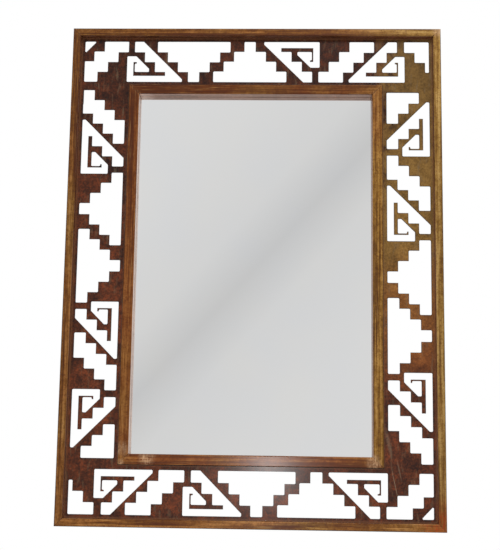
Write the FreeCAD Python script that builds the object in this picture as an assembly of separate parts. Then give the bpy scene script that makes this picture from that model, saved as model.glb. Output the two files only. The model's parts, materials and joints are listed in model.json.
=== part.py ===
import FreeCAD, Part
import math
import os

from FreeCAD import Vector

# Wall mirror with a welded iron frame, in millimetres.
# X runs to the right of someone who looks at the mirror, Z up, and the front faces -Y.
# The origin is on the wall plane, midway between the two hanging holes.

# Whole mirror
overall_width = 914.0
overall_height = 1219.0
overall_depth = 38.0
hang_drop = 165.0

# Square tubes of the two mitred frames
outer_tube = 19.0
inner_tube = 25.4
tube_wall = 1.5
tube_edge_radius = 2.0

# Pierced sheet between the frames
sheet_thickness = 1.9
sheet_setback = 3.0
outer_margin = 8.5
inner_margin = 11.5
window_clearance = 0.3

# Stepped fret: one step is the pattern's unit across the border
fret_step = 25.7
cut_half_width = 1.15
cut_corner_trim = 1.8

# Glass and backing board
glass_thickness = 4.0
glass_lap = 12.0
board_thickness = 3.0
board_inset = 1.0

# Ledges under the glass
ledge_length = 40.0
ledge_thickness = 3.0
ledge_gap = 0.3
ledge_short_of_board = 0.5

# Turn buttons with their spacers and screws
button_thickness = 1.5
button_pivot_radius = 6.5
button_tip_radius = 5.0
button_reach = 20.0
button_lip_height = 2.5
button_lip_width = 6.0
button_clearance = 0.2
spacer_flats = 8.0
screw_radius = 2.0
screw_head_flats = 7.0
screw_head_height = 2.8
screw_end_length = 6.0
running_clearance = 0.05

# Hanger brackets, bent from flat bar
bracket_width = 22.0
bracket_thickness = 3.0
bracket_foot = 14.0
bracket_crown = 44.0
bracket_slope = 6.0
bracket_bend_radius = 2.0
keyhole_radius = 5.5
keyhole_slot_radius = 2.75
keyhole_slot_rise = 12.0

# Rubber wall bumpers
bumper_radius = 9.0
bumper_recess_radius = 5.0
bumper_seat = 6.0
bumper_rise = 45.0

# How far a cut runs past a face, and how much of an edge a corner may take
overrun = 5.0
largest_trim_share = 0.45

# Places along a rail, in shares of half its opening
button_place_share = 0.55
ledge_place_share = 0.3

# The pattern's unit counts, and its openings in steps: first along the border, then across it
steps_across = 4
top_steps_share = 33.3
side_steps_share = 45.25

pyramid_shares = [(0, 0), (7, 0), (7, 1), (6, 1), (6, 2), (5, 2), (5, 3), (4, 3),
                  (4, 4), (3, 4), (3, 3), (2, 3), (2, 2), (1, 2), (1, 1), (0, 1)]
zigzag_shares = [(0, 0), (2.28, 0), (2.28, 1), (3.28, 1), (3.28, 2), (4.28, 2), (4.28, 3), (5.28, 3),
                 (5.28, 4), (3, 4), (3, 3), (2, 3), (2, 2), (1, 2), (1, 1), (0, 1)]
stair_shares = [(0, 0), (3, 0), (3, 1), (2, 1), (2, 2), (1, 2), (1, 3), (0, 3)]
triangle_shares = [(0, 0), (1, 0), (0, 1.05)]
hook_shares = [(0, 0), (5.29, 0), (5.29, 0.22), (1.51, 4), (0.72, 4), (0.72, 3), (1.72, 3),
               (1.72, 2), (2.72, 2), (2.72, 1), (3.72, 1), (3.72, 0.54), (0.53, 0.54), (0.53, 2),
               (0.93, 2), (0.93, 1.78), (0.75, 1.78), (0.75, 1), (2.06, 1), (2.06, 1.27),
               (0.81, 2.52), (0, 2.52)]

# Openings of half the border. Each has an outline, the step where it starts, the side that its foot
# stands on and its direction. The other half is the same, turned half a turn about the centre.
top_place_shares = [
    (triangle_shares, 0, "outer", 1),
    (zigzag_shares, -1.09, "inner", 1),
    (hook_shares, 4.15, "inner", 1),
    (pyramid_shares, 7.11, "outer", 1),
    (pyramid_shares, 12.56, "inner", 1),
    (hook_shares, 22.77, "outer", -1),
    (zigzag_shares, 22.75, "inner", 1),
    (hook_shares, 30.96, "inner", -1),
    (zigzag_shares, 31.02, "outer", 1),
]
side_place_shares = [
    (stair_shares, 5.1, "inner", 1),
    (hook_shares, 11.33, "outer", -1),
    (zigzag_shares, 11.34, "inner", 1),
    (hook_shares, 19.57, "inner", -1),
    (pyramid_shares, 19.55, "outer", 1),
    (pyramid_shares, 25.07, "inner", 1),
    (hook_shares, 32.05, "outer", 1),
    (zigzag_shares, 35.03, "inner", 1),
]

# Levels from the wall towards the viewer
front = -overall_depth
sheet_front = front + outer_tube
sheet_back = sheet_front + sheet_thickness
glass_front = front + inner_tube
board_front = glass_front + glass_thickness
board_back = board_front + board_thickness
button_front = board_back + button_clearance
button_back = button_front + button_thickness

# Heights and half sizes about the centre of the frame
centre_height = hang_drop - overall_height / 2
half_width = overall_width / 2
half_height = overall_height / 2
band_half_width = half_width - outer_tube - outer_margin - cut_half_width
band_half_height = half_height - outer_tube - outer_margin - cut_half_width
border = outer_tube + outer_margin + 2 * cut_half_width + steps_across * fret_step + inner_margin
inner_half_width = half_width - border
inner_half_height = half_height - border
opening_half_width = inner_half_width - inner_tube
opening_half_height = inner_half_height - inner_tube
glass_half_width = opening_half_width + glass_lap
glass_half_height = opening_half_height + glass_lap
pivot_margin = (inner_tube - glass_lap) / 2


def unit(vector):
    """The same direction with a length of 1."""
    return vector / vector.Length


def counter_clockwise(points):
    """Points of an outline in the XZ plane, turned round if they run clockwise seen from the front."""
    area = sum(p.x * q.z - q.x * p.z for p, q in zip(points, points[1:] + points[:1]))
    return points if area > 0 else points[::-1]


def cleaned(points):
    """The outline without repeated points and points in line with their neighbours."""
    single = [p for i, p in enumerate(points) if (p - points[i - 1]).Length > Part.Precision.confusion()]
    kept = []
    for i, point in enumerate(single):
        before = unit(point - single[i - 1])
        after = unit(single[(i + 1) % len(single)] - point)
        if before.cross(after).Length > Part.Precision.angular():
            kept.append(point)
    return kept


def left_of(direction):
    """The direction a quarter turn to the left in the XZ plane."""
    return Vector(-direction.z, 0, direction.x)


def grown(points, distance):
    """The outline moved outwards by a distance, with sharp corners."""
    result = []
    for i, point in enumerate(points):
        before = unit(point - points[i - 1])
        after = unit(points[(i + 1) % len(points)] - point)
        mitre = (left_of(before) + left_of(after)) / (1 + before.dot(after))
        result.append(point - mitre * distance)
    return result


def corner_shape(points, i):
    """The directions into and out of a corner, its turn to the left, and the largest trim it has room for."""
    arriving = points[i] - points[i - 1]
    leaving = points[(i + 1) % len(points)] - points[i]
    before, after = unit(arriving), unit(leaving)
    turn = math.atan2(before.x * after.z - before.z * after.x, before.dot(after))
    return before, after, turn, largest_trim_share * min(arriving.Length, leaving.Length)


def clipped(points, trim):
    """A counter-clockwise outline with its outward corners clipped, each square one by the trim."""
    result = []
    for i, corner in enumerate(points):
        before, after, turn, room = corner_shape(points, i)
        if turn < 0:
            result.append(corner)
            continue
        cut = min(trim * math.tan(turn / 2), room)
        result.append(corner - before * cut)
        result.append(corner + after * cut)
    return result


def rounded_wire(points, outward_radius, inward_radius=0.0):
    """A closed wire through the points of a counter-clockwise outline, with arcs in the corners with room."""
    starts, ends, arcs = [], [], []
    for i, corner in enumerate(points):
        before, after, turn, room = corner_shape(points, i)
        radius = outward_radius if turn > 0 else inward_radius
        slope = math.tan(abs(turn) / 2)
        trim = radius * slope if radius * slope < room else 0
        starts.append(corner - before * trim)
        ends.append(corner + after * trim)
        if trim > 0:
            centre = starts[-1] + left_of(before) * math.copysign(radius, turn)
            middle = centre + unit(corner - centre) * radius
            arcs.append(Part.Arc(starts[-1], middle, ends[-1]).toShape())
    lines = [Part.makeLine(ends[i - 1], starts[i]) for i in range(len(points))]
    return Part.Wire(Part.__sortEdges__(lines + arcs))


def rectangle(half_x, half_z, middle_z, y):
    """Corner points of an upright rectangle."""
    return [Vector(-half_x, y, middle_z - half_z), Vector(half_x, y, middle_z - half_z),
            Vector(half_x, y, middle_z + half_z), Vector(-half_x, y, middle_z + half_z)]


def hexagon(flats, x, y, z):
    """Corner points of an upright hexagon, from its width across flats."""
    radius = flats / (2 * math.cos(math.radians(30)))
    return [Vector(x + radius * math.cos(math.radians(turn)), y, z + radius * math.sin(math.radians(turn)))
            for turn in range(0, 360, 60)]


def plate(points, thickness):
    """A flat plate from an outline, which reaches backwards by its thickness."""
    return Part.Face(Part.makePolygon(points + points[:1])).extrude(Vector(0, thickness, 0))


def bar(section, length, outward_radius, inward_radius=0.0):
    """A bar along X about the origin. Its section is drawn in the XZ plane, with X for the depth."""
    face = Part.Face(rounded_wire(section, outward_radius, inward_radius))
    face.rotate(Vector(0, 0, 0), Vector(0, 0, 1), 90)
    face.translate(Vector(-length / 2, 0, 0))
    return face.extrude(Vector(length, 0, 0))


def rod(radius, start_y, end_y, x, z):
    """A round bar along Y."""
    return Part.makeCylinder(radius, end_y - start_y, Vector(x, start_y, z), Vector(0, 1, 0))


def square_tube(size, length):
    """A tube along X about the origin, with rounded outer edges."""
    half = size / 2
    outer = bar(rectangle(half, half, 0, 0), length, tube_edge_radius)
    hollow = bar(rectangle(half - tube_wall, half - tube_wall, 0, 0), length, 0)
    return outer.cut(hollow)


def mitred_rail(size, half_length, distance, turn):
    """One rail of a frame, cut at 45 degrees at both ends. It is built as the top rail and turned."""
    tube = square_tube(size, 2 * half_length)
    tube.translate(Vector(0, front + size / 2, distance - size / 2))
    inner_length = half_length - size
    level, inner_edge = front - overrun, distance - size
    mitre = [Vector(-half_length, level, distance), Vector(-inner_length, level, inner_edge),
             Vector(inner_length, level, inner_edge), Vector(half_length, level, distance)]
    rail = tube.common(plate(mitre, size + 2 * overrun))
    rail.rotate(Vector(0, 0, 0), Vector(0, 1, 0), turn)
    rail.translate(Vector(0, 0, centre_height))
    return rail.Solids[0]


def frame_rails(prefix, size, half_x, half_z):
    """The four rails of one welded frame."""
    return {
        prefix + "_rail_top": mitred_rail(size, half_x, half_z, 0),
        prefix + "_rail_right": mitred_rail(size, half_z, half_x, 90),
        prefix + "_rail_bottom": mitred_rail(size, half_x, half_z, 180),
        prefix + "_rail_left": mitred_rail(size, half_z, half_x, 270),
    }


def fret_opening(shares, place, foot, direction, length, steps, corner, along, across):
    """One opening of the border as a cutting solid. Its outline is in steps, and stays on the border."""
    step_along = length / steps
    points = []
    for a, b in shares:
        run = min(max(place + direction * a, 0), steps) * step_along
        rise = (b if foot == "outer" else steps_across - b) * fret_step
        points.append(corner + along * run + across * rise)
    outline = grown(cleaned(counter_clockwise(points)), cut_half_width)
    return plate(clipped(outline, cut_corner_trim), sheet_thickness + 2 * overrun)


def fret_openings():
    """The openings of the top and the right side, and the same turned half a turn."""
    level = sheet_front - overrun
    top_corner = Vector(-band_half_width, level, centre_height + band_half_height)
    side_corner = Vector(band_half_width, level, centre_height + band_half_height)
    down, right, left = Vector(0, 0, -1), Vector(1, 0, 0), Vector(-1, 0, 0)
    half = [fret_opening(*item, 2 * band_half_width, top_steps_share, top_corner, right, down)
            for item in top_place_shares]
    half += [fret_opening(*item, 2 * band_half_height, side_steps_share, side_corner, down, left)
             for item in side_place_shares]
    turned = []
    for opening in half:
        copy = opening.copy()
        copy.rotate(Vector(0, 0, centre_height), Vector(0, 1, 0), 180)
        turned.append(copy)
    return half + turned


def bumper_places():
    """Centres of the wall bumpers, low on the outer frame's two sides."""
    x = half_width - sheet_setback - bumper_radius
    z = centre_height - half_height + bumper_rise
    return [(-x, z), (x, z)]


def button_places():
    """Pivot of each turn button, and the turn that points its tongue at the middle of the glass."""
    x = inner_half_width - pivot_margin
    z = inner_half_height - pivot_margin
    along = opening_half_height * button_place_share
    return [
        (0, centre_height + z, 0),
        (x, centre_height + along, 90), (x, centre_height - along, 90),
        (0, centre_height - z, 180),
        (-x, centre_height - along, 270), (-x, centre_height + along, 270),
    ]


def drilled(solid, places, radius):
    """The solid with a hole through it along Y at each place that it covers."""
    for place in places:
        solid = solid.cut(rod(radius, front + outer_tube / 2, overrun, place[0], place[1]))
    return solid.Solids[0]


def fret_panel():
    """The pierced sheet, with its window for the inner frame and the screw holes of the bumpers."""
    outline = rectangle(half_width - sheet_setback, half_height - sheet_setback, centre_height, sheet_front)
    sheet = plate(outline, sheet_thickness)
    window = plate(rectangle(inner_half_width + window_clearance, inner_half_height + window_clearance,
                             centre_height, sheet_front - overrun), sheet_thickness + 2 * overrun)
    sheet = sheet.cut([window] + fret_openings())
    return drilled(sheet, bumper_places(), screw_radius + running_clearance)


def glass_ledges():
    """Two short bars on the back of the bottom inner rail, just under the glass."""
    depth = board_back - glass_front - ledge_short_of_board
    top = centre_height - glass_half_height - ledge_gap
    ledges = {}
    for name, side in (("left", -1), ("right", 1)):
        x = side * ledge_place_share * opening_half_width
        ledges["glass_ledge_" + name] = Part.makeBox(
            ledge_length, depth, ledge_thickness,
            Vector(x - ledge_length / 2, glass_front, top - ledge_thickness))
    return ledges


def turn_button(x, z, turn):
    """A flat tongue with a round pivot end, and a tapered tip with an upturned lip to push with a finger."""
    pivot, tip = button_pivot_radius, button_tip_radius
    lean = math.asin((pivot - tip) / button_reach)
    side_x, side_z = math.cos(lean), math.sin(lean)
    left_pivot = Vector(-pivot * side_x, button_front, -pivot * side_z)
    left_tip = Vector(-tip * side_x, button_front, -button_reach - tip * side_z)
    right_pivot = Vector(pivot * side_x, button_front, -pivot * side_z)
    right_tip = Vector(tip * side_x, button_front, -button_reach - tip * side_z)
    left_lip = Vector(-button_lip_width / 2, button_front, -button_reach - tip)
    right_lip = Vector(button_lip_width / 2, button_front, -button_reach - tip)
    edges = [Part.makeLine(left_pivot, left_tip),
             Part.makeLine(left_tip, left_lip),
             Part.makeLine(left_lip, right_lip),
             Part.makeLine(right_lip, right_tip),
             Part.makeLine(right_tip, right_pivot),
             Part.Arc(right_pivot, Vector(0, button_front, pivot), left_pivot).toShape()]
    button = Part.Face(Part.Wire(edges)).extrude(Vector(0, button_thickness, 0))
    lip = Part.makeBox(button_lip_width, button_thickness + button_lip_height, button_thickness, left_lip)
    button = button.fuse(lip).removeSplitter()
    screw_hole = rod(screw_radius + running_clearance, button_front - overrun, button_back + overrun, 0, 0)
    button = button.cut(screw_hole)
    button.rotate(Vector(0, 0, 0), Vector(0, 1, 0), turn)
    button.translate(Vector(x, 0, z))
    return button.Solids[0]


def hex_screw(x, z, seat, end):
    """A screw with a hexagonal head. Its head sits on the seat, and its shank reaches forwards."""
    head = plate(hexagon(screw_head_flats, x, seat, z), screw_head_height)
    return head.fuse(rod(screw_radius, end, seat, x, z)).Solids[0]


def button_screws():
    """The screws that the turn buttons swing on, through their spacers into the inner frame."""
    end = glass_front - tube_wall - screw_end_length
    return Part.makeCompound([hex_screw(x, z, button_back, end) for x, z, turn in button_places()])


def button_spacers():
    """The hexagonal spacers that hold the turn buttons clear of the board."""
    spacers = []
    for x, z, turn in button_places():
        body = plate(hexagon(spacer_flats, x, glass_front, z), button_front - glass_front)
        bore = rod(screw_radius + running_clearance, glass_front - overrun, button_front + overrun, x, z)
        spacers.append(body.cut(bore).Solids[0])
    return Part.makeCompound(spacers)


def hanger_bracket(side):
    """A hat-shaped bracket whose crown lies on the wall plane and has a keyhole for a wall screw."""
    x = side * (half_width - sheet_setback - bracket_width / 2)
    thick = bracket_thickness
    crown = bracket_crown / 2
    foot = crown + bracket_slope
    end = foot + bracket_foot
    lean = math.atan2(-sheet_back - thick, bracket_slope)
    inset = thick * math.tan(lean / 2)
    profile = [(sheet_back, end), (sheet_back, foot), (-thick, crown), (-thick, -crown),
               (sheet_back, -foot), (sheet_back, -end), (sheet_back + thick, -end),
               (sheet_back + thick, -foot - inset), (0, -crown - inset), (0, crown + inset),
               (sheet_back + thick, foot + inset), (sheet_back + thick, end)]
    section = counter_clockwise([Vector(y, 0, z) for y, z in profile])
    bracket = bar(section, bracket_width, bracket_bend_radius + thick, bracket_bend_radius)
    bracket.translate(Vector(x, 0, (keyhole_slot_rise - keyhole_radius) / 2))
    entry = rod(keyhole_radius, -thick - overrun, overrun, x, 0)
    neck = Part.makeBox(2 * keyhole_slot_radius, thick + 2 * overrun, keyhole_slot_rise,
                        Vector(x - keyhole_slot_radius, -thick - overrun, 0))
    seat = rod(keyhole_slot_radius, -thick - overrun, overrun, x, keyhole_slot_rise)
    return bracket.cut([entry, neck, seat]).Solids[0]


def wall_bumper(x, z):
    """A round rubber buffer between the sheet and the wall, with a recess for its screw."""
    seat = sheet_back + bumper_seat
    buffer = rod(bumper_radius, sheet_back, 0, x, z)
    recess = rod(bumper_recess_radius, seat, overrun, x, z)
    hole = rod(screw_radius + running_clearance, sheet_back - overrun, seat, x, z)
    return buffer.cut([recess, hole]).Solids[0]


def bumper_screws():
    """The screws of the bumpers, through the sheet into the outer frame."""
    end = sheet_front - tube_wall - screw_end_length
    return Part.makeCompound([hex_screw(x, z, sheet_back + bumper_seat, end) for x, z in bumper_places()])


def mirror():
    """Every piece of the mirror by its name."""
    pieces = frame_rails("outer", outer_tube, half_width, half_height)
    pieces.update(frame_rails("inner", inner_tube, inner_half_width, inner_half_height))
    hole = screw_radius + running_clearance
    for name in ("outer_rail_left", "outer_rail_right"):
        pieces[name] = drilled(pieces[name], bumper_places(), hole)
    for name in ("inner_rail_top", "inner_rail_right", "inner_rail_bottom", "inner_rail_left"):
        pieces[name] = drilled(pieces[name], button_places(), hole)
    pieces["fret_panel"] = fret_panel()
    pieces["mirror_glass"] = plate(rectangle(glass_half_width, glass_half_height, centre_height, glass_front),
                                   glass_thickness)
    pieces["backing_board"] = plate(rectangle(glass_half_width - board_inset, glass_half_height - board_inset,
                                              centre_height, board_front), board_thickness)
    pieces.update(glass_ledges())
    for number, (x, z, turn) in enumerate(button_places(), 1):
        pieces["turn_button_%d" % number] = turn_button(x, z, turn)
    pieces["button_spacers"] = button_spacers()
    pieces["button_screws"] = button_screws()
    pieces["hanger_bracket_left"] = hanger_bracket(-1)
    pieces["hanger_bracket_right"] = hanger_bracket(1)
    left, right = bumper_places()
    pieces["wall_bumper_left"] = wall_bumper(*left)
    pieces["wall_bumper_right"] = wall_bumper(*right)
    pieces["bumper_screws"] = bumper_screws()
    return pieces


os.makedirs("parts", exist_ok=True)
for node, shape in mirror().items():
    shape.exportStep("parts/%s.step" % node)
    print(node, len(shape.Solids), "solid(s), volume %.0f, valid %s" % (shape.Volume, shape.isValid()))
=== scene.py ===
import json
import math

import bmesh
import bpy
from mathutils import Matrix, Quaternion, Vector


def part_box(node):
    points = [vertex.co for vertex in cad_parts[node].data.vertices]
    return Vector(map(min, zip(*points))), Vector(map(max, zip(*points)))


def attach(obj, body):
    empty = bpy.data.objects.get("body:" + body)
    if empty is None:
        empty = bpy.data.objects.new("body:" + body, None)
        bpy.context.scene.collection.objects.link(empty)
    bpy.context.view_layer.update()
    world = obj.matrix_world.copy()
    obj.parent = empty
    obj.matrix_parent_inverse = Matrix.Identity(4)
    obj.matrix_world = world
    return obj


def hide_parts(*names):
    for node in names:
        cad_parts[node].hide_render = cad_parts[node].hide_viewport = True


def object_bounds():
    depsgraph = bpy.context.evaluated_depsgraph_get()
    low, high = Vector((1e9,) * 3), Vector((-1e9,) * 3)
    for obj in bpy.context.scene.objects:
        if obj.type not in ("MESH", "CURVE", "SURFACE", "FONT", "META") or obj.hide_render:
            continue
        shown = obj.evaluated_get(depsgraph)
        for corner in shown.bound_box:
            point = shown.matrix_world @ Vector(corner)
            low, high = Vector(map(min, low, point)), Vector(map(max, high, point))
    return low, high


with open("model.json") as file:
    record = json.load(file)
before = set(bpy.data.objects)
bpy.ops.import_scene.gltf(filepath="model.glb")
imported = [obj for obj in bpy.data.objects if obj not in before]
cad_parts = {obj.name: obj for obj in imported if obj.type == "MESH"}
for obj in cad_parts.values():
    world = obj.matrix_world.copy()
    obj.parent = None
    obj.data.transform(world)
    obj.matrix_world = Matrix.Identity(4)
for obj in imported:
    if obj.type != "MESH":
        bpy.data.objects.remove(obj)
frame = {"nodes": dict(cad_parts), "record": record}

# Wall mirror with a welded iron frame: its finishes, its welds and screws, the light and the camera.
# All lengths are in metres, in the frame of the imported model: X right, Y from the viewer to the wall, Z up.
mm = 0.001
cad_low, cad_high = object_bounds()
middle_z = (cad_low.z + cad_high.z) / 2

# Half sizes of the two tube frames and of the sheet, the levels of their faces and the widths of the tubes,
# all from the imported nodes
outer_half_x = cad_high.x
outer_half_z = (cad_high.z - cad_low.z) / 2
inner_half_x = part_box("inner_rail_right")[1].x
inner_half_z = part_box("inner_rail_top")[1].z - middle_z
sheet_half_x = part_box("fret_panel")[1].x
sheet_half_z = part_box("fret_panel")[1].z - middle_z
sheet_front_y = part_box("fret_panel")[0].y
sheet_back_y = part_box("fret_panel")[1].y
inner_back_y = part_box("inner_rail_right")[1].y
outer_tube_width = sheet_front_y - cad_low.y
inner_tube_width = inner_back_y - cad_low.y

# A part lies at an end, or faces up, when it has nearly all of the height, or of the upward direction
nearly_all = 0.99


def linear(hex_colour):
    """A linear RGBA colour from an sRGB hex value such as 8b5a33."""
    parts = [int(hex_colour[i:i + 2], 16) / 255 for i in (0, 2, 4)]
    return [c / 12.92 if c <= 0.04045 else ((c + 0.055) / 1.055) ** 2.4 for c in parts] + [1.0]


def per_size(*sizes):
    """The scale of a pattern whose features have these sizes in millimetres along X, Y and Z."""
    return [1 / (size * mm) for size in sizes]


def add(tree, kind, inputs=(), stops=(), **settings):
    """A shader node with its settings. Each input, by name or number, takes a value, a node or a socket.
    A colour ramp's stops are its two ends, and then those between them."""
    made = tree.nodes.new("ShaderNode" + kind)
    for name, value in settings.items():
        setattr(made, name, value)
    usable = [socket for socket in made.inputs if socket.enabled]
    for key, value in dict(inputs).items():
        socket = usable[key] if isinstance(key, int) else next(s for s in usable if s.name == key)
        if isinstance(value, bpy.types.Node):
            value = next(s for s in value.outputs if s.enabled)
        if isinstance(value, bpy.types.NodeSocket):
            tree.links.new(value, socket)
        else:
            socket.default_value = value
    for number, (position, colour) in enumerate(stops):
        ramp = made.color_ramp.elements
        element = ramp[number] if number < 2 else ramp.new(position)
        element.position = position
        element.color = linear(colour)
    return made


def new_material(name):
    """An empty material, with its node tree and its texture coordinates."""
    made = bpy.data.materials.new(name)
    made.use_nodes = True
    made.node_tree.nodes.clear()
    return made, made.node_tree, add(made.node_tree, "TexCoord")


def finish_material(tree, colour, roughness, height, depth, **settings):
    """The material's surface from its colour, its roughness, and its relief with a depth in millimetres.
    The settings are further inputs of the surface, with _ for each space in their names."""
    bump = add(tree, "Bump", {"Height": height, "Distance": depth * mm})
    surface = add(tree, "BsdfPrincipled", {"Base Color": colour, "Roughness": roughness, "Normal": bump})
    for name, value in settings.items():
        surface.inputs[name.replace("_", " ")].default_value = value
    add(tree, "OutputMaterial", {"Surface": surface})
    return surface


# Rust-patinated mild steel tube, brushed lengthwise and lacquered: satin brown with dark and bright streaks
# along the bar, cloudy stains that turn olive gold to the right, partly as painted sheen of light from the
# right, painted shade towards the top, painted light and shade on the sides and rounded edges, and bare
# ground metal at the mitres
def patinated_tube(name, along, painted_top_shade, half_x, half_z, tube_width, tones, gold_tones, outward_shade_tone,
                   inward_light_tone, left_inward_light_tone, ground_spots):
    made, tree, coordinates = new_material(name)
    place = coordinates.outputs["Object"]
    axes = add(tree, "SeparateXYZ", {0: place})
    if along == "x":
        streak_scale, band_scale = per_size(75, 2.2, 2.2), per_size(240, 5, 5)
    else:
        streak_scale, band_scale = per_size(2.2, 2.2, 75), per_size(5, 5, 240)
    fine = add(tree, "Mapping", {"Vector": place, "Scale": streak_scale})
    streaks = add(tree, "TexNoise", {"Vector": fine, "Scale": 1.0, "Detail": 4.0, "Roughness": 0.65})
    coarse = add(tree, "Mapping", {"Vector": place, "Scale": band_scale})
    bands = add(tree, "TexNoise", {"Vector": coarse, "Scale": 1.0, "Detail": 3.0})
    stains = add(tree, "TexNoise", {"Vector": place, "Scale": 1 / (16 * mm), "Detail": 5.0, "Roughness": 0.7,
                                    "Distortion": 0.6})
    slanted = add(tree, "Mapping", {"Vector": place, "Rotation": (0, 0.6, 0),
                                    "Scale": per_size(1.6, 1.6, 18)})
    scratches = add(tree, "TexNoise", {"Vector": slanted, "Scale": 1.0, "Detail": 3.0})
    specks = add(tree, "TexNoise", {"Vector": place, "Scale": 1 / (2.8 * mm), "Detail": 2.0})
    clouds = add(tree, "TexNoise", {"Vector": place, "Scale": 1 / (230 * mm), "Detail": 2.0})

    # Tones of the front, with painted shade towards the top and painted light low down on the uprights, and
    # clouds of olive gold that take over towards the right, where they also stand in as painted sheen of
    # light from the right
    layers = add(tree, "CombineXYZ", {0: streaks, 1: bands, 2: stains})
    shares = (0.34, 0.4, 0.26)
    tone = add(tree, "VectorMath", {0: layers, 1: shares}, operation="DOT_PRODUCT")
    if along == "z":
        painted_light_low_down = add(tree, "MapRange", {"Value": axes.outputs["Z"], "From Min": -0.3, "From Max": -0.7,
                                       "To Max": 0.022})
        tone = add(tree, "Math", {0: tone, 1: painted_light_low_down}, operation="ADD")
    painted_shade_to_top = add(tree, "MapRange", {"Value": axes.outputs["Z"], "From Min": -0.4, "From Max": 0.15,
                                   "To Max": -painted_top_shade})
    darker = add(tree, "Math", {0: tone, 1: painted_shade_to_top}, operation="ADD")
    rust = add(tree, "ValToRGB", {0: darker}, stops=[(0.4, tones[0]), (0.6, tones[2]), (0.5, tones[1])])
    gold = add(tree, "ValToRGB", {0: tone},
               stops=[(0.4, gold_tones[0]), (0.6, gold_tones[2]), (0.5, gold_tones[1])])
    patina_and_sheen_to_right = axes.outputs["X"]
    if along == "z":
        low = add(tree, "MapRange", {"Value": axes.outputs["Z"], "From Min": -0.1, "From Max": -0.24,
                                     "To Max": 0.2})
        patina_and_sheen_to_right = add(tree, "Math", {0: patina_and_sheen_to_right, 1: low}, operation="ADD")
    patina_and_sheen_to_right = add(tree, "MapRange", {"Value": patina_and_sheen_to_right, "From Min": 0.18, "From Max": 0.44},
                   interpolation_type="SMOOTHSTEP")
    above = add(tree, "MapRange", {"Value": axes.outputs["Z"], "From Min": -1.05, "From Max": -0.92,
                                   "To Min": 0.3}, interpolation_type="SMOOTHSTEP")
    patina_and_sheen_to_right = add(tree, "Math", {0: patina_and_sheen_to_right, 1: above}, operation="MULTIPLY")
    cloudy = add(tree, "MapRange", {"Value": clouds, "From Min": 0.5, "From Max": 0.7, "To Max": 0.5})
    gold_patina_and_sheen = add(tree, "Math", {0: cloudy, 1: patina_and_sheen_to_right}, operation="MAXIMUM")
    colour = add(tree, "Mix", {"Factor": gold_patina_and_sheen, "A": rust, "B": gold}, data_type="RGBA")
    lines = add(tree, "MapRange", {"Value": bands, "From Min": 0.44, "From Max": 0.3, "To Max": 0.55})
    colour = add(tree, "Mix", {"Factor": lines, "A": colour, "B": linear("4a200e")}, data_type="RGBA")
    dots = add(tree, "MapRange", {"Value": specks, "From Min": 0.54, "From Max": 0.68, "To Max": 0.6})
    colour = add(tree, "Mix", {"Factor": dots, "A": colour, "B": linear("54240f")}, data_type="RGBA")
    glints = add(tree, "MapRange", {"Value": streaks, "From Min": 0.58, "From Max": 0.72, "To Max": 0.45})
    colour = add(tree, "Mix", {"Factor": glints, "A": colour, "B": linear("c69a5c")}, data_type="RGBA")

    # How far a point lies inside the frame's outer faces, which tells the inward sides from the outward ones
    height = add(tree, "Math", {0: axes.outputs["Z"], 1: middle_z}, operation="SUBTRACT")
    off_middle_x = add(tree, "Math", {0: axes.outputs["X"]}, operation="ABSOLUTE")
    off_middle_z = add(tree, "Math", {0: height}, operation="ABSOLUTE")
    beyond_x = add(tree, "Math", {0: off_middle_x, 1: half_x}, operation="SUBTRACT")
    beyond_z = add(tree, "Math", {0: off_middle_z, 1: half_z}, operation="SUBTRACT")
    within = add(tree, "Math", {0: beyond_x, 1: beyond_z}, operation="MAXIMUM")
    half_way = -tube_width / 2
    inward = add(tree, "MapRange", {"Value": within, "From Min": half_way, "From Max": half_way - 1 * mm})
    # Painted light and shade on the sides: the inward sides lighter for the light they catch from the glass
    # and the sheet, the outward sides darker, and on the left the inward sides lighter still
    side_light_and_shade = add(tree, "Mix", {"Factor": inward, "A": linear(outward_shade_tone), "B": linear(inward_light_tone)},
                data_type="RGBA")
    left_inward_light = add(tree, "MapRange", {"Value": axes.outputs["X"], "From Min": -0.25, "From Max": -0.285})
    left_inward_light = add(tree, "Math", {0: left_inward_light, 1: inward}, operation="MULTIPLY")
    side_light_and_shade = add(tree, "Mix", {"Factor": left_inward_light, "A": side_light_and_shade, "B": linear(left_inward_light_tone)}, data_type="RGBA")
    mottle = add(tree, "MapRange", {"Value": tone, "From Min": 0.4, "From Max": 0.6, "To Min": 0.5,
                                    "To Max": 1.4})
    side_light_and_shade = add(tree, "VectorMath", {0: side_light_and_shade, "Scale": mottle}, operation="SCALE")

    # The normal tells the front from the sides, which the brush didn't reach, and from the rounded edges. The
    # sides take the painted light and shade above
    facing = add(tree, "SeparateXYZ", {0: coordinates.outputs["Normal"]}).outputs["Y"]
    facing = add(tree, "Math", {0: facing}, operation="ABSOLUTE")
    side = add(tree, "MapRange", {"Value": facing, "From Min": 0.5, "From Max": 0.15},
               interpolation_type="SMOOTHSTEP")
    colour = add(tree, "Mix", {"Factor": side, "A": colour, "B": side_light_and_shade}, data_type="RGBA")
    turned = add(tree, "MapRange", {"Value": facing, "From Min": 0.99, "From Max": 0.85})
    turning = add(tree, "MapRange", {"Value": facing, "From Min": 0.15, "From Max": 0.5})
    edge = add(tree, "Math", {0: turned, 1: turning}, operation="MULTIPLY")
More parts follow.
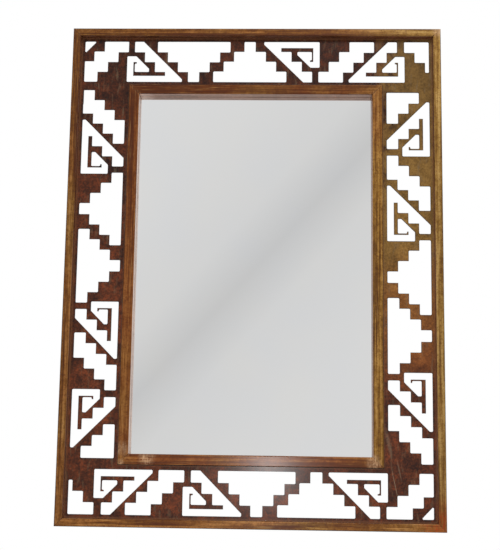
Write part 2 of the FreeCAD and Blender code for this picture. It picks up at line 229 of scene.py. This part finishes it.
    # Painted light and shade on the rounded edges: a highlight, partly wear, on the inward ones, and a dark
    # shade line on the outward ones
    edge_wear_light_and_shade = add(tree, "MapRange", {"Value": bands, "From Min": 0.42, "From Max": 0.6, "To Max": 0.35})
    edge_wear_light_and_shade = add(tree, "Mix", {"Factor": inward, "A": 0.9, "B": edge_wear_light_and_shade}, data_type="FLOAT")
    edge = add(tree, "Math", {0: edge, 1: edge_wear_light_and_shade}, operation="MULTIPLY")
    edge_light_and_shade_tone = add(tree, "Mix", {"Factor": inward, "A": linear("2a160b"), "B": linear("b98a58")},
                    data_type="RGBA")
    colour = add(tree, "Mix", {"Factor": edge, "A": colour, "B": edge_light_and_shade_tone}, data_type="RGBA")

    # Distance from the mitre lines: a dark seam with scratched ground metal beside it
    across = add(tree, "Math", {0: beyond_x, 1: beyond_z}, operation="SUBTRACT")
    across = add(tree, "Math", {0: across}, operation="ABSOLUTE")
    scratched = add(tree, "MapRange", {"Value": scratches, "From Min": 0.5, "From Max": 0.62})
    beside = add(tree, "MapRange", {"Value": across, "From Min": 9 * mm, "From Max": 1 * mm, "To Max": 0.6})
    ground = add(tree, "Math", {0: beside, 1: scratched}, operation="MULTIPLY")
    colour = add(tree, "Mix", {"Factor": ground, "A": colour, "B": linear("b98553")}, data_type="RGBA")
    seam = add(tree, "MapRange", {"Value": across, "From Min": 0.3 * mm, "From Max": 1.3 * mm, "To Min": 0.7,
                                  "To Max": 0.0})
    colour = add(tree, "Mix", {"Factor": seam, "A": colour, "B": linear("2c1710")}, data_type="RGBA")

    # Spots that were ground or that rusted afresh, uneven with the brush's marks and the stains
    brush_marks_and_painted_light = add(tree, "MapRange", {"Value": streaks, "From Min": 0.38, "From Max": 0.58, "To Max": 0.7})
    marked = add(tree, "Math", {0: brush_marks_and_painted_light, 1: scratched}, operation="MAXIMUM")
    patchy = add(tree, "MapRange", {"Value": stains, "From Min": 0.38, "From Max": 0.56, "To Min": 0.3})
    for centre, radius, spot_tone in ground_spots:
        away = add(tree, "VectorMath", {0: place, 1: centre}, operation="DISTANCE")
        near = add(tree, "MapRange", {"Value": away, "From Min": radius, "From Max": radius * 0.2},
                   interpolation_type="SMOOTHSTEP")
        bright = add(tree, "Math", {0: near, 1: marked}, operation="MULTIPLY")
        bright = add(tree, "Math", {0: bright, 1: patchy}, operation="MULTIPLY")
        colour = add(tree, "Mix", {"Factor": bright, "A": colour, "B": linear(spot_tone)}, data_type="RGBA")

    satin = add(tree, "MapRange", {"Value": streaks, "From Min": 0.3, "From Max": 0.7, "To Min": 0.36,
                                   "To Max": 0.54})
    relief = add(tree, "Math", {0: specks, 1: 0.7, 2: streaks}, operation="MULTIPLY_ADD")
    finish_material(tree, colour, satin, relief, depth=0.09, Metallic=0.4, Specular_IOR_Level=0.1,
                    Coat_Weight=0.24, Coat_Roughness=0.18)
    return made


# Torch-cut mild steel sheet, rust-patinated and lacquered: dark purplish brown with rust bloom, olive at the
# upper right that is partly a painted sheen of light from the right, bright rust lower down there, a few
# scuffed grey patches, painted shade towards the top, a painted lighter margin along the tubes that cancels
# the shade they cast, and a dark scale on the cut edges
def patinated_sheet():
    made, tree, coordinates = new_material("torch_cut_patinated_sheet")
    place = coordinates.outputs["Object"]
    axes = add(tree, "SeparateXYZ", {0: place})
    stains = add(tree, "TexNoise", {"Vector": place, "Scale": 1 / (38 * mm), "Detail": 5.0, "Roughness": 0.6,
                                    "Distortion": 0.6})
    bloom = add(tree, "TexNoise", {"Vector": place, "Scale": 1 / (6 * mm), "Detail": 4.0, "Roughness": 0.7})
    grit = add(tree, "TexNoise", {"Vector": place, "Scale": 1 / (1.8 * mm), "Detail": 2.0, "Roughness": 0.7})
    turned = add(tree, "Mapping", {"Vector": place, "Rotation": (0, 0.35, 0), "Scale": per_size(9, 9, 42)})
    scuffs = add(tree, "TexNoise", {"Vector": turned, "Scale": 1.0, "Detail": 4.0, "Roughness": 0.6})

    # Tones of the sheet and their zones: olive at the upper right, partly a painted sheen of light from the
    # right, fresh rust below it, and painted shade towards the top with painted light low down
    layers = add(tree, "CombineXYZ", {0: stains, 1: bloom, 2: grit})
    shares = (0.4, 0.36, 0.24)
    tone = add(tree, "VectorMath", {0: layers, 1: shares}, operation="DOT_PRODUCT")
    red = add(tree, "ValToRGB", {0: tone}, stops=[(0.4, "270f08"), (0.62, "803e1f"), (0.5, "4d2512")])
    olive = add(tree, "ValToRGB", {0: tone}, stops=[(0.38, "583f16"), (0.64, "a67e40"), (0.5, "825f2b")])
    rust = add(tree, "ValToRGB", {0: tone}, stops=[(0.38, "5a2a0e"), (0.64, "a8642c"), (0.5, "7d431a")])
    patina_and_sheen_to_right = add(tree, "Math", {0: axes.outputs["Z"], 1: -0.12, 2: axes.outputs["X"]},
                   operation="MULTIPLY_ADD")
    patina_and_sheen_to_right = add(tree, "Math", {0: stains, 1: 0.2, 2: patina_and_sheen_to_right}, operation="MULTIPLY_ADD")
    patina_and_sheen_to_right = add(tree, "MapRange", {"Value": patina_and_sheen_to_right, "From Min": 0.385, "From Max": 0.46},
                   interpolation_type="SMOOTHSTEP")
    upper = add(tree, "MapRange", {"Value": axes.outputs["Z"], "From Min": -0.74, "From Max": -0.46},
                interpolation_type="SMOOTHSTEP")
    olive_patina_and_sheen = add(tree, "Math", {0: patina_and_sheen_to_right, 1: upper}, operation="MULTIPLY")
    colour = add(tree, "Mix", {"Factor": olive_patina_and_sheen, "A": red, "B": olive}, data_type="RGBA")
    fresh_centre = (0.42, sheet_front_y, -0.56)
    away = add(tree, "VectorMath", {0: place, 1: fresh_centre}, operation="DISTANCE")
    fresh = add(tree, "MapRange", {"Value": away, "From Min": 0.21, "From Max": 0.08, "To Max": 0.6},
                interpolation_type="SMOOTHSTEP")
    colour = add(tree, "Mix", {"Factor": fresh, "A": colour, "B": rust}, data_type="RGBA")
    # Painted shade darker towards the top, and painted light lighter low down
    painted_shade_to_top = add(tree, "MapRange", {"Value": axes.outputs["Z"], "From Min": -0.5, "From Max": 0.15,
                                   "To Min": 1.15, "To Max": 0.6})
    colour = add(tree, "VectorMath", {0: colour, "Scale": painted_shade_to_top}, operation="SCALE")
    scuffed = add(tree, "MapRange", {"Value": scuffs, "From Min": 0.56, "From Max": 0.7, "To Max": 0.45})
    colour = add(tree, "Mix", {"Factor": scuffed, "A": colour, "B": linear("75634c")}, data_type="RGBA")

    # Scratches at the lower right, which lean to the left. Each has its centre, measured across the slant and
    # in height, its half sizes in millimetres in the same two directions, and its strength
    across_slant = (0.978, 0, 0.207)
    scratches = (((0.1357, 0, -0.95), (1.3, 1, 50), 1.0),
                 ((0.1525, 0, -0.915), (2, 1, 30), 0.6),
                 ((0.1415, 0, -0.85), (6, 1, 45), 0.5))
    slant = add(tree, "VectorMath", {0: place, 1: across_slant}, operation="DOT_PRODUCT")
    slanted = add(tree, "CombineXYZ", {0: slant, 2: axes.outputs["Z"]})
    for centre, half_sizes, strength in scratches:
        away = add(tree, "VectorMath", {0: slanted, 1: centre}, operation="SUBTRACT")
        away = add(tree, "VectorMath", {0: away, 1: per_size(*half_sizes)}, operation="MULTIPLY")
        away = add(tree, "VectorMath", {0: away}, operation="LENGTH")
        shown = add(tree, "MapRange", {"Value": away, "From Min": 1.0, "From Max": 0.3, "To Max": strength})
        scratch = add(tree, "Math", {0: shown, 1: bloom}, operation="MULTIPLY")
        colour = add(tree, "Mix", {"Factor": scratch, "A": colour, "B": linear("a08a70")}, data_type="RGBA")

    # Painted light in the corners beside the tubes, a lighter margin that cancels the shade the tubes cast
    # there, and the dark scale on the cut edges
    corner = add(tree, "AmbientOcclusion", {"Distance": 8 * mm}, samples=8)
    brush_marks_and_painted_light = add(tree, "MapRange", {"Value": corner.outputs["AO"], "From Min": 0.85, "From Max": 0.5,
                                     "To Max": 0.6})
    colour = add(tree, "Mix", {"Factor": brush_marks_and_painted_light, "A": colour, "B": linear("946647")}, data_type="RGBA")
    edge = add(tree, "AmbientOcclusion", {"Distance": 1.7 * mm}, samples=8, inside=True, only_local=True)
    cut = add(tree, "MapRange", {"Value": edge.outputs["AO"], "From Min": 0.99, "From Max": 0.75,
                                 "To Max": 0.85})
    colour = add(tree, "Mix", {"Factor": cut, "A": colour, "B": linear("1a0d08")}, data_type="RGBA")
    satin = add(tree, "MapRange", {"Value": bloom, "From Min": 0.3, "From Max": 0.7, "To Min": 0.4,
                                   "To Max": 0.6})
    relief = add(tree, "Math", {0: bloom, 1: grit}, operation="ADD")
    finish_material(tree, colour, satin, relief, depth=0.07, Metallic=0.3, Specular_IOR_Level=0.1,
                    Coat_Weight=0.24, Coat_Roughness=0.18)
    return made


# Float glass silvered behind: a clear reflection, cool grey and nearly as bright as what it shows, with the
# faint waviness of the glass. Its back and its edges carry the matt grey paint that protects the silver
def silvered_glass():
    made, tree, coordinates = new_material("silvered_float_glass")
    place = coordinates.outputs["Object"]
    waves = add(tree, "TexNoise", {"Vector": place, "Scale": 1 / (160 * mm), "Detail": 1.0})
    tint = add(tree, "ValToRGB", {0: waves}, stops=[(0.3, "ecedee"), (0.7, "eeeeed")])
    clean = add(tree, "MapRange", {"Value": waves, "From Min": 0.3, "From Max": 0.7, "To Min": 0.01,
                                   "To Max": 0.02})
    facing = add(tree, "SeparateXYZ", {0: coordinates.outputs["Normal"]}).outputs["Y"]
    front = add(tree, "Math", {0: facing, 1: -0.5}, operation="LESS_THAN")
    mist = add(tree, "TexNoise", {"Vector": place, "Scale": 1 / (1.5 * mm), "Detail": 3.0})
    paint = add(tree, "ValToRGB", {0: mist}, stops=[(0.3, "5c6063"), (0.7, "6d7173")])
    colour = add(tree, "Mix", {"Factor": front, "A": paint, "B": tint}, data_type="RGBA")
    gloss = add(tree, "Mix", {"Factor": front, "A": 0.7, "B": clean}, data_type="FLOAT")
    surface = finish_material(tree, colour, gloss, waves, depth=0.002)
    tree.links.new(front.outputs[0], surface.inputs["Metallic"])
    return made


# Hardboard, pressed wet on a wire screen: matt brown fibre with the screen's small weave on its back
def pressed_hardboard():
    made, tree, coordinates = new_material("pressed_hardboard")
    place = coordinates.outputs["Object"]
    stretched = add(tree, "Mapping", {"Vector": place, "Scale": per_size(2.5, 2.5, 9)})
    fibre = add(tree, "TexNoise", {"Vector": stretched, "Scale": 1.0, "Detail": 5.0, "Roughness": 0.7})
    cloud = add(tree, "TexNoise", {"Vector": place, "Scale": 1 / (110 * mm), "Detail": 3.0})
    # The real screen has about 0.8 mm between wires, drawn at 2.4 mm so that it shows from a step away. The
    # wave pattern runs through 20 radians in each of its units
    wire_scale = math.tau / 20 / (2.4 * mm)
    wires = [add(tree, "TexWave", {"Vector": place, "Scale": wire_scale, "Distortion": 0.0},
                 bands_direction=direction).outputs["Fac"] for direction in ("X", "Z")]
    screen = add(tree, "Math", {0: wires[0], 1: wires[1]}, operation="MULTIPLY")
    tone = add(tree, "Math", {0: cloud, 1: 0.3, 2: fibre}, operation="MULTIPLY_ADD")
    colour = add(tree, "ValToRGB", {0: tone}, stops=[(0.45, "563923"), (0.85, "8f6947"), (0.65, "745138")])
    wet = add(tree, "Math", {0: screen, 1: 0.3}, operation="MULTIPLY")
    colour = add(tree, "Mix", {"Factor": wet, "A": colour, "B": linear("3f2818")}, data_type="RGBA")
    matt = add(tree, "MapRange", {"Value": fibre, "From Min": 0.3, "From Max": 0.7, "To Min": 0.7,
                                  "To Max": 0.9})
    relief = add(tree, "Math", {0: fibre, 1: screen}, operation="SUBTRACT")
    finish_material(tree, colour, matt, relief, depth=0.12, Specular_IOR_Level=0.25)
    return made


# Pressed steel with bright zinc plating: pale grey metal with a faint blue and straw cast
def zinc_plate():
    made, tree, coordinates = new_material("zinc_plated_pressed_steel")
    place = coordinates.outputs["Object"]
    cast = add(tree, "TexNoise", {"Vector": place, "Scale": 1 / (8 * mm), "Detail": 3.0})
    grain = add(tree, "TexNoise", {"Vector": place, "Scale": 1 / (0.5 * mm), "Detail": 3.0})
    colour = add(tree, "ValToRGB", {0: cast}, stops=[(0.35, "a7afb5"), (0.65, "c8bd9f"), (0.5, "bdbebb")])
    bright = add(tree, "MapRange", {"Value": grain, "From Min": 0.3, "From Max": 0.7, "To Min": 0.25,
                                    "To Max": 0.42})
    finish_material(tree, colour, bright, grain, depth=0.015, Metallic=1.0)
    return made


# Moulded black rubber: deep grey and matt, with the fine pebble of its mould and a little dust
def moulded_rubber():
    made, tree, coordinates = new_material("moulded_black_rubber")
    place = coordinates.outputs["Object"]
    pebble = add(tree, "TexNoise", {"Vector": place, "Scale": 1 / (0.7 * mm), "Detail": 2.0})
    dust = add(tree, "TexNoise", {"Vector": place, "Scale": 1 / (5 * mm), "Detail": 4.0})
    colour = add(tree, "ValToRGB", {0: dust}, stops=[(0.4, "1a1a1a"), (0.68, "383633")])
    matt = add(tree, "MapRange", {"Value": pebble, "From Min": 0.3, "From Max": 0.7, "To Min": 0.6,
                                  "To Max": 0.8})
    finish_material(tree, colour, matt, pebble, depth=0.03, Specular_IOR_Level=0.4)
    return made


# Arc-weld bead, left as laid and lacquered over: dark scaly ripples with straw and blue heat colours
def weld_metal():
    made, tree, coordinates = new_material("arc_weld_bead")
    place = coordinates.outputs["Object"]
    heat = add(tree, "TexNoise", {"Vector": place, "Scale": 1 / (5 * mm), "Detail": 3.0, "Distortion": 0.8})
    scale = add(tree, "TexNoise", {"Vector": place, "Scale": 1 / (0.8 * mm), "Detail": 3.0})
    colour = add(tree, "ValToRGB", {0: heat}, stops=[(0.35, "49321f"), (0.65, "75685a"), (0.5, "5f4a35")])
    satin = add(tree, "MapRange", {"Value": scale, "From Min": 0.3, "From Max": 0.7, "To Min": 0.35,
                                   "To Max": 0.6})
    finish_material(tree, colour, satin, scale, depth=0.03, Metallic=0.6)
    return made


def deselect():
    """Object mode with nothing selected."""
    if bpy.context.mode != "OBJECT":
        bpy.ops.object.mode_set(mode="OBJECT")
    bpy.ops.object.select_all(action="DESELECT")


def select_only(*pieces):
    """Object mode with just these pieces selected, and the first of them active."""
    deselect()
    for piece in pieces:
        piece.select_set(True)
    bpy.context.view_layer.objects.active = pieces[0]


def pick(piece, kind, test):
    """Edit mode, with the edges or faces selected whose middle and direction pass the test."""
    select_only(piece)
    bpy.ops.object.mode_set(mode="EDIT")
    bpy.ops.mesh.select_mode(type=kind)
    bpy.ops.mesh.select_all(action="DESELECT")
    mesh = bmesh.from_edit_mesh(piece.data)
    for part in (mesh.faces if kind == "FACE" else mesh.edges):
        middle = sum((corner.co for corner in part.verts), Vector()) / len(part.verts)
        direction = part.normal if kind == "FACE" else (part.verts[1].co - part.verts[0].co).normalized()
        part.select_set(test(middle, direction))
    bmesh.update_edit_mesh(piece.data)


def put_in_place(piece, place, turn):
    """Turns a piece about the origin, moves it, and leaves its object at the origin."""
    piece.location = place
    piece.rotation_euler = turn
    select_only(piece)
    bpy.ops.object.transform_apply(location=True, rotation=True, scale=True)


def placed_copies(piece, places):
    """A copy with its own mesh for each place and turn. The pattern itself is taken away."""
    made = []
    for place, turn in places:
        copy = piece.copy()
        copy.data = piece.data.copy()
        bpy.context.scene.collection.objects.link(copy)
        put_in_place(copy, place, turn)
        made.append(copy)
    bpy.data.objects.remove(piece)
    return made


def join_up(pieces):
    """Several objects as one."""
    select_only(*pieces)
    bpy.ops.object.join()
    return pieces[0]


def settle(piece, name, made):
    """Names a finished piece and gives it its material, its shading and the body it rides on."""
    piece.name = name
    piece.data.name = name
    piece.data.materials.clear()
    piece.data.materials.append(made)
    select_only(piece)
    bpy.ops.object.shade_smooth_by_angle(angle=math.radians(35))
    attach(piece, "mirror_frame")


def weld_bead(length, radius):
    """A weld bead along X, of overlapping flattened ripples run into one skin."""
    pitch = 1.3 * mm
    count = round(length / pitch)
    unevenness, turn_per_ripple = 0.08, 2.3
    flattened = (0.7, 0.75, 1.0)
    ripples = []
    for number in range(count):
        deselect()
        swell = radius * (1 + unevenness * math.sin(turn_per_ripple * number))
        along = (number - (count - 1) / 2) * pitch
        bpy.ops.mesh.primitive_ico_sphere_add(subdivisions=1, radius=swell, location=(along, 0, 0))
        bpy.ops.transform.resize(value=flattened)
        ripples.append(bpy.context.object)
    bead = join_up(ripples)
    put_in_place(bead, bead.location, bead.rotation_euler)
    remesh = bead.modifiers.new("one_skin", "REMESH")
    remesh.mode = "VOXEL"
    remesh.voxel_size = 0.55 * mm
    bpy.ops.object.modifier_apply(modifier=remesh.name)
    return bead


def hexagon_screw(flats, head_height, radius, length):
    """A hexagon screw: its seat at the origin, its bevelled and dished head along +Z, its shank along -Z."""
    head_bevel, rim_width, dish_depth = 0.7 * mm, 0.8 * mm, 0.4 * mm
    tip_bevel = radius * 0.4
    deselect()
    corner = flats / 2 / math.cos(math.pi / 6)
    bpy.ops.mesh.primitive_cylinder_add(vertices=6, radius=corner, depth=head_height,
                                        location=(0, 0, head_height / 2))
    head = bpy.context.object
    put_in_place(head, head.location, (0, 0, math.radians(90)))
    pick(head, "EDGE", lambda middle, way: middle.z > head_height * nearly_all)
    bpy.ops.mesh.bevel(offset=head_bevel, segments=3)
    pick(head, "FACE", lambda middle, normal: normal.z > nearly_all)
    bpy.ops.mesh.inset(thickness=rim_width)
    bpy.ops.transform.translate(value=(0, 0, -dish_depth))
    deselect()
    bpy.ops.mesh.primitive_cylinder_add(vertices=16, radius=radius, depth=length,
                                        location=(0, 0, -length / 2))
    shank = bpy.context.object
    put_in_place(shank, shank.location, (0, 0, 0))
    pick(shank, "EDGE", lambda middle, way: middle.z < -length * nearly_all)
    bpy.ops.mesh.bevel(offset=tip_bevel, segments=2)
    return join_up([head, shank])


def rubber_bumper(radius, recess_radius, height, recess_depth):
    """A round buffer along +Z from the origin, with a stepped recess for its screw and rounded rims."""
    taper = 0.96
    rim_bevel, foot_bevel = 0.9 * mm, 0.5 * mm
    askew = 0.1

    def on_rim(middle, way):
        """Whether an edge runs round the rim or the recess, and doesn't cross between the two."""
        return middle.z > height * nearly_all and abs(way.dot(middle.normalized())) < askew

    deselect()
    bpy.ops.mesh.primitive_cylinder_add(vertices=48, radius=radius, depth=height, location=(0, 0, height / 2))
    bumper = bpy.context.object
    put_in_place(bumper, bumper.location, (0, 0, 0))
    pick(bumper, "FACE", lambda middle, normal: normal.z > nearly_all)
    bpy.ops.transform.resize(value=(taper, taper, 1.0))
    bpy.ops.mesh.inset(thickness=radius * taper - recess_radius)
    bpy.ops.mesh.extrude_region_move(TRANSFORM_OT_translate={"value": (0, 0, -recess_depth)})
    pick(bumper, "EDGE", on_rim)
    bpy.ops.mesh.bevel(offset=rim_bevel, segments=3)
    pick(bumper, "EDGE", lambda middle, way: middle.z < height * (1 - nearly_all))
    bpy.ops.mesh.bevel(offset=foot_bevel, segments=2)
    deselect()
    return bumper


def along_edges(half_x, half_z, level, heights, offsets):
    """Places and turns for beads on a frame's four edges, this far from the middles of the edges."""
    upright = (0, math.radians(90), 0)
    side_light_and_shade = [((side * half_x, level, middle_z + height), upright) for side in (-1, 1) for height in heights]
    ends = [((offset, level, middle_z + side * half_z), (0, 0, 0)) for side in (-1, 1) for offset in offsets]
    return side_light_and_shade + ends


def weld_beads(made):
    """Short welds at the back: round the sheet and the inner frame, on its mitres, brackets and ledges."""
    # Length and radius of each kind of bead, and how far its middle lies behind the face that it is laid on
    sheet_bead, sheet_rise = (28 * mm, 1.6 * mm), -1.0 * mm
    inner_bead, inner_rise = (30 * mm, 2.0 * mm), 0.6 * mm
    mitre_bead, mitre_rise = (15 * mm, 2.2 * mm), 0.3 * mm
    fitting_bead, bracket_rise, ledge_rise = (18 * mm, 1.7 * mm), 1.0 * mm, 0.8 * mm
    lap, from_corner = 0.5 * mm, 6.5 * mm

    places = along_edges(sheet_half_x + lap, sheet_half_z + lap, sheet_back_y + sheet_rise,
                         heights=(-0.46, -0.16, 0.16, 0.46), offsets=(-0.3, 0.0, 0.3))
    sheet = join_up(placed_copies(weld_bead(*sheet_bead), places))
    settle(sheet, "sheet_edge_welds", made)

    places = along_edges(inner_half_x + lap, inner_half_z + lap, sheet_back_y + inner_rise,
                         heights=(-0.36, 0.0, 0.36), offsets=(-0.22, 0.12))
    inner = placed_copies(weld_bead(*inner_bead), places)
    mitre_x, mitre_z = inner_half_x - from_corner, inner_half_z - from_corner
    places = [((x * mitre_x, inner_back_y + mitre_rise, middle_z + z * mitre_z),
               (0, math.radians(-45 * x * z), 0)) for x in (-1, 1) for z in (-1, 1)]
    inner += placed_copies(weld_bead(*mitre_bead), places)
    settle(join_up(inner), "inner_frame_welds", made)

    places = []
    for side in ("left", "right"):
        low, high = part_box("hanger_bracket_" + side)
        middle_x = (low.x + high.x) / 2
        places += [((middle_x, sheet_back_y + bracket_rise, z), (0, 0, 0)) for z in (low.z, high.z)]
        low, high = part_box("glass_ledge_" + side)
        middle_x = (low.x + high.x) / 2
        places.append(((middle_x, inner_back_y + ledge_rise, low.z), (0, 0, 0)))
    fittings = join_up(placed_copies(weld_bead(*fitting_bead), places))
    settle(fittings, "bracket_and_ledge_welds", made)


def screws_and_bumpers(plating, rubber):
    """The screws of the turn buttons, and the bumpers with theirs."""
    to_wall = (math.radians(-90), 0, 0)
    flats, radius = 7 * mm, 2 * mm
    button_thickness = 1.5 * mm
    recess_radius, bumper_seat = 5 * mm, 6 * mm

    low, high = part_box("button_screws")
    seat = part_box("turn_button_1")[0].y + button_thickness
    pivots = [Vector(joint["pos_m"]) for joint in frame["record"]["behaviour"]["joints"]]
    screw = hexagon_screw(flats, high.y - seat, radius, seat - low.y)
    screws = join_up(placed_copies(screw, [((pivot.x, seat, pivot.z), to_wall) for pivot in pivots]))
    settle(screws, "turn_button_hexagon_screws", plating)
    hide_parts("button_screws")

    centres = []
    for side in ("left", "right"):
        low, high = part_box("wall_bumper_" + side)
        centre = (low + high) / 2
        centres.append(centre)
        height = high.y - low.y
        bumper = rubber_bumper((high.x - low.x) / 2, recess_radius, height, height - bumper_seat)
        put_in_place(bumper, (centre.x, low.y, centre.z), to_wall)
        settle(bumper, "moulded_wall_bumper_" + side, rubber)
        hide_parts("wall_bumper_" + side)
    low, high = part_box("bumper_screws")
    seat = sheet_back_y + bumper_seat
    screw = hexagon_screw(flats, high.y - seat, radius, seat - low.y)
    screws = join_up(placed_copies(screw, [((centre.x, seat, centre.z), to_wall) for centre in centres]))
    settle(screws, "bumper_hexagon_screws", plating)
    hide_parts("bumper_screws")


def dress(nodes, made):
    """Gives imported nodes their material."""
    for node in nodes:
        mesh = frame["nodes"][node].data
        mesh.materials.clear()
        mesh.materials.append(made)


def white_studio():
    """The surround: white to the camera, a soft even light, and a light grey room in the mirror."""
    world = bpy.data.worlds.new("white_studio")
    world.use_nodes = True
    tree = world.node_tree
    tree.nodes.clear()
    # The mirror shows the room behind the camera: light grey walls with a dimmer band that leans to the right
    across_band = (-0.738, 0.129, 0.663)
    direction = add(tree, "TexCoord").outputs["Generated"]
    across = add(tree, "VectorMath", {0: direction, 1: across_band}, operation="DOT_PRODUCT")
    across = add(tree, "MapRange", {"Value": across, "From Min": -0.2, "From Max": 0.2},
                 interpolation_type="SMOOTHSTEP")
    room = add(tree, "ValToRGB", {0: across},
               stops=[(0.0, "e7e7e7"), (1.0, "e9e9e9"), (0.36, "e1e1e1"), (0.5, "d3d3d3"), (0.64, "e1e1e1")])
    rays = add(tree, "LightPath")
    reflected = add(tree, "Background", {"Color": room, "Strength": 1.0})
    fill = add(tree, "Background", {"Color": linear("ffffff"), "Strength": 0.65})
    white = add(tree, "Background", {"Color": linear("ffffff"), "Strength": 1.0})
    lit = add(tree, "MixShader", {0: rays.outputs["Is Glossy Ray"], 1: fill, 2: reflected})
    seen = add(tree, "Math", {0: rays.outputs["Is Camera Ray"], 1: rays.outputs["Is Transmission Ray"]},
               operation="MAXIMUM")
    add(tree, "OutputWorld", {0: add(tree, "MixShader", {0: seen, 1: lit, 2: white})})
    bpy.context.scene.world = world


def round_lamp(name, place, size, watts):
    """A round soft lamp that faces the middle of the mirror."""
    lamp = bpy.data.lights.new(name, "AREA")
    lamp.shape = "DISK"
    lamp.size = size
    lamp.energy = watts
    stand = bpy.data.objects.new(name, lamp)
    bpy.context.scene.collection.objects.link(stand)
    stand.location = place
    stand.rotation_mode = "QUATERNION"
    stand.rotation_quaternion = (Vector((0, 0, middle_z)) - Vector(place)).to_track_quat("-Z", "Y")
    return stand


def lamps():
    """A soft light above the camera, and a small one beside it for the glints low on the iron."""
    round_lamp("softbox", place=(0.6, -3.4, 2.4), size=1.3, watts=34.0)
    small = round_lamp("beside_camera", place=(0.01, -2.64, -0.958), size=0.05, watts=7.5)
    # The small light reaches the low iron alone, so that the glass doesn't show it as a bright disc
    iron = bpy.data.collections.new("iron_under_small_light")
    for node in ("inner_rail_bottom", "outer_rail_bottom", "fret_panel"):
        iron.objects.link(frame["nodes"][node])
    small.light_linking.receiver_collection = iron


def pale_floor():
    """A pale painted floor, some way below the mirror."""
    size, drop = 5.0, 0.5
    deselect()
    bpy.ops.mesh.primitive_plane_add(size=size, location=(0, 0, cad_low.z - drop))
    floor = bpy.context.object
    floor.name = "floor"
    made, tree, coordinates = new_material("pale_painted_floor")
    edge_wear_light_and_shade = add(tree, "TexNoise", {"Vector": coordinates.outputs["Object"], "Scale": 1 / (400 * mm)})
    paint = add(tree, "ValToRGB", {0: edge_wear_light_and_shade}, stops=[(0.3, "e4e3e0"), (0.7, "efeeec")])
    satin = add(tree, "MapRange", {"Value": edge_wear_light_and_shade, "From Min": 0.3, "From Max": 0.7, "To Min": 0.6,
                                   "To Max": 0.8})
    finish_material(tree, paint, satin, edge_wear_light_and_shade, depth=0.1)
    floor.data.materials.append(made)


def photo_camera():
    """The photograph's camera, found from the frame's corners and openings as they lie in it."""
    place = Vector((0.0798, -2.6408, -0.8627))
    target = Vector((-0.00669, -0.038, -0.45638))
    roll = math.radians(0.817)
    focal_pixels, photo_height = 1096.7, 550
    made = bpy.data.cameras.new("photo_camera")
    made.sensor_width = 36.0
    made.lens = made.sensor_width * focal_pixels / photo_height
    holder = bpy.data.objects.new("photo_camera", made)
    bpy.context.scene.collection.objects.link(holder)
    holder.location = place
    holder.rotation_mode = "QUATERNION"
    holder.rotation_quaternion = (target - place).to_track_quat("-Z", "Y") @ Quaternion((0, 0, 1), roll)
    bpy.context.scene.camera = holder


# The tones of each frame's tubes go from dark to light, and their side tones are painted light and shade. The
# spots on their front have a centre, a radius and a colour: bare ground steel near the corners, and fresh
# rust at the lower right corner
front_y = cad_low.y
ground_steel, fresh_rust = "c9a27c", "a03a06"
outer_tube = {"half_x": outer_half_x, "half_z": outer_half_z, "tube_width": outer_tube_width,
              "tones": ("552a0a", "784814", "ac723a"), "gold_tones": ("62400e", "966e2e", "c09a5a"),
              "outward_shade_tone": "54301c", "inward_light_tone": "78482f", "left_inward_light_tone": "78482f",
              "ground_spots": [((0.452, front_y, 0.16), 22 * mm, ground_steel),
                               ((0.45, front_y, -1.04), 75 * mm, fresh_rust)]}
inner_tube = {"half_x": inner_half_x, "half_z": inner_half_z, "tube_width": inner_tube_width,
              "tones": ("562808", "743c10", "9a5e2a"), "gold_tones": ("58360e", "8e6222", "c2924a"),
              "outward_shade_tone": "4a2a18", "inward_light_tone": "b08a78", "left_inward_light_tone": "ecd0c2",
              "ground_spots": [((-0.304, front_y, -0.872), 22 * mm, ground_steel),
                               ((-0.243, front_y, -0.893), 26 * mm, ground_steel),
                               ((-0.306, front_y, -0.905), 12 * mm, ground_steel),
                               ((0.288, front_y, -0.895), 24 * mm, ground_steel)]}
flat_bar = {"half_x": outer_half_x, "half_z": outer_half_z, "tube_width": outer_tube_width,
            "tones": ("2b190e", "462b1a", "6a4528"), "gold_tones": ("36260f", "523b1c", "765730"),
            "outward_shade_tone": "3a2417", "inward_light_tone": "3a2417", "left_inward_light_tone": "3a2417", "ground_spots": []}

# How far the tone falls towards the top, as painted shade, on the level bars and on the upright ones
for part, looks, level_top_shade, upright_top_shade in (("outer", outer_tube, 0.03, 0.022),
                                              ("inner", inner_tube, 0.1, 0.015)):
    dress([part + "_rail_top", part + "_rail_bottom"],
          patinated_tube(part + "_patinated_tube_level", along="x", painted_top_shade=level_top_shade, **looks))
    dress([part + "_rail_left", part + "_rail_right"],
          patinated_tube(part + "_patinated_tube_upright", along="z", painted_top_shade=upright_top_shade, **looks))
dress(["fret_panel"], patinated_sheet())
dress(["mirror_glass"], silvered_glass())
dress(["backing_board"], pressed_hardboard())
dress(["glass_ledge_left", "glass_ledge_right", "hanger_bracket_left", "hanger_bracket_right"],
      patinated_tube("patinated_flat_bar", along="z", painted_top_shade=0.03, **flat_bar))
zinc = zinc_plate()
black_rubber = moulded_rubber()
bead_metal = weld_metal()
dress([node for node in frame["nodes"] if node.startswith("turn_button")] + ["button_spacers"], zinc)
weld_beads(bead_metal)
screws_and_bumpers(zinc, black_rubber)

white_studio()
lamps()
pale_floor()
photo_camera()
bpy.context.scene.view_settings.view_transform = "Standard"
